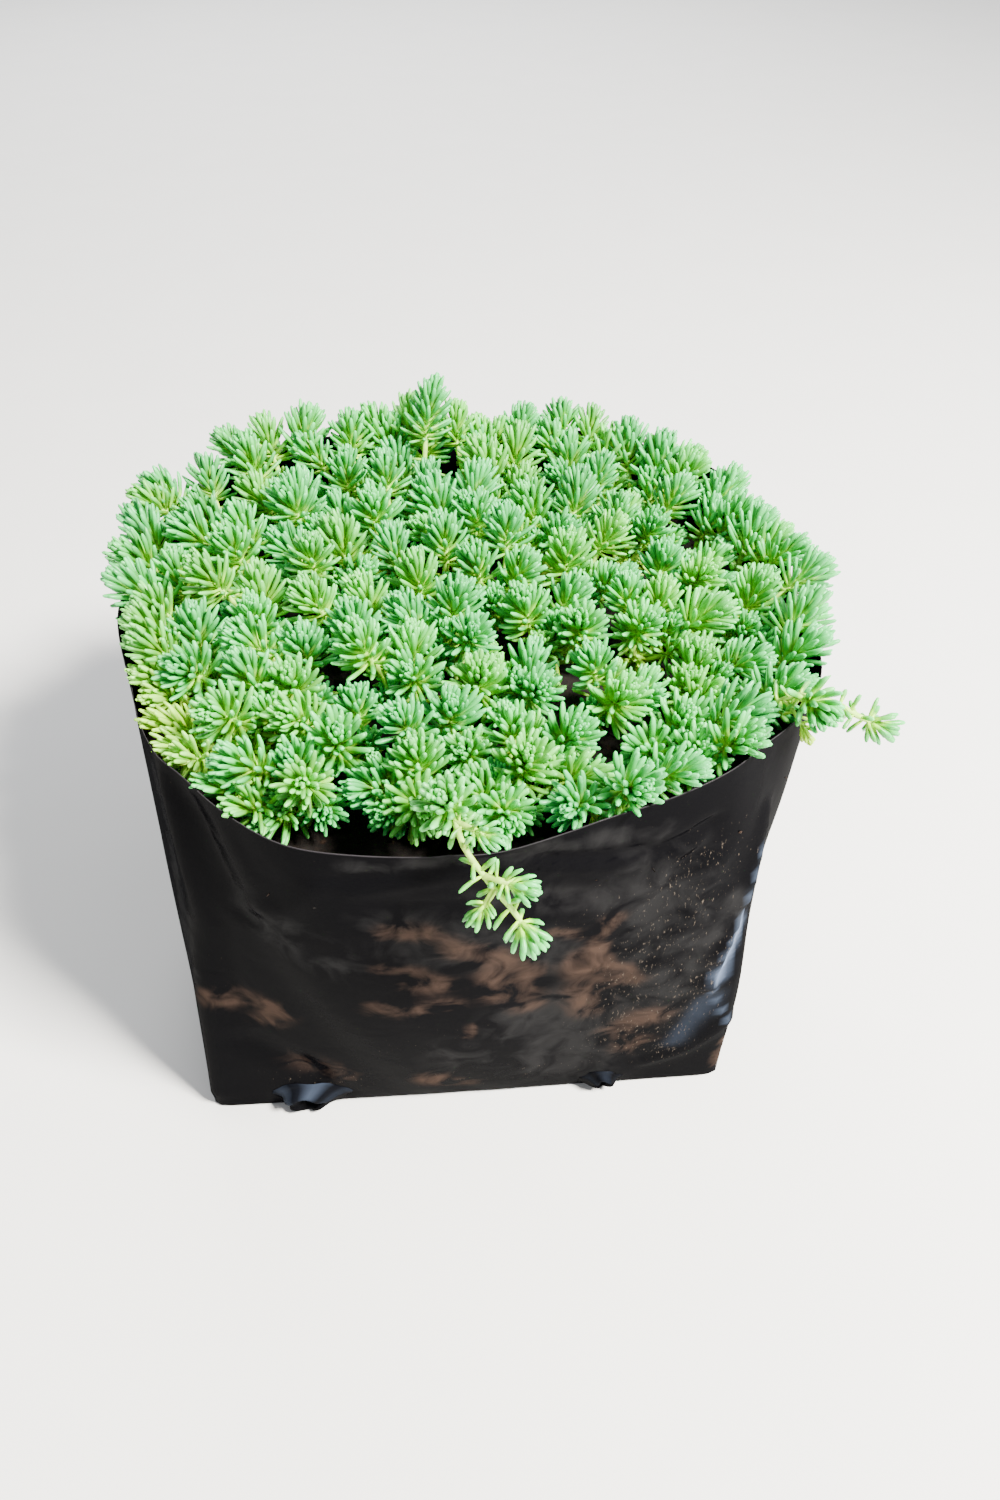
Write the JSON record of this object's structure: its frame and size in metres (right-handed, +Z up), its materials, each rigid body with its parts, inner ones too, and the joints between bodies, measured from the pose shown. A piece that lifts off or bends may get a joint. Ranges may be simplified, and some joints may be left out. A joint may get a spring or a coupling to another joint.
{
  "type": "potted stonecrop",
  "caption": "Dense mat of needle-leaved stonecrop shoots in a square-based black film nursery bag, with two short stems trailing over the rim.",
  "frame": {"origin": "on the bag's flat base, below the middle of its mouth", "axes": "+Z up, -Y towards the viewer of the picture, +X to the viewer's right"},
  "size_m": [0.2477, 0.2485, 0.188],
  "materials": {
    "black_film": "semi-gloss black polythene film, dusty",
    "potting_mix": "damp dark crumbs of bark and coir",
    "foliage": "waxy pale green leaves with a light bloom"
  },
  "bodies": {
    "root": {"grow_bag": "black_film", "leafy_shoots_01": "foliage", "leafy_shoots_02": "foliage", "leafy_shoots_03": "foliage", "leafy_shoots_04": "foliage", "leafy_shoots_05": "foliage", "leafy_shoots_06": "foliage", "leafy_shoots_07": "foliage", "leafy_shoots_08": "foliage", "leafy_shoots_09": "foliage", "leafy_shoots_10": "foliage", "leafy_shoots_11": "foliage", "leafy_shoots_12": "foliage", "leafy_shoots_13": "foliage", "leafy_shoots_14": "foliage", "leafy_shoots_15": "foliage", "leafy_shoots_16": "foliage", "leafy_shoots_17": "foliage", "leafy_shoots_18": "foliage", "leafy_shoots_19": "foliage", "leafy_shoots_20": "foliage", "leafy_shoots_21": "foliage", "leafy_shoots_22": "foliage", "leafy_shoots_23": "foliage", "leafy_shoots_24": "foliage", "leafy_shoots_25": "foliage", "leafy_shoots_26": "foliage", "leafy_shoots_27": "foliage", "leafy_shoots_28": "foliage", "leafy_shoots_29": "foliage", "leafy_shoots_30": "foliage", "leafy_shoots_31": "foliage", "leafy_shoots_32": "foliage", "leafy_shoots_33": "foliage", "leafy_shoots_34": "foliage", "leafy_shoots_35": "foliage", "leafy_shoots_36": "foliage", "leafy_shoots_37": "foliage", "leafy_shoots_38": "foliage", "leafy_shoots_39": "foliage", "leafy_shoots_40": "foliage", "leafy_shoots_41": "foliage", "leafy_shoots_42": "foliage", "leafy_shoots_43": "foliage", "leafy_shoots_44": "foliage", "leafy_shoots_45": "foliage", "leafy_shoots_46": "foliage", "leafy_shoots_47": "foliage", "leafy_shoots_48": "foliage", "potting_mix": "potting_mix", "trailing_stem_front": "foliage", "trailing_stem_right": "foliage"}
  },
  "joints": []
}
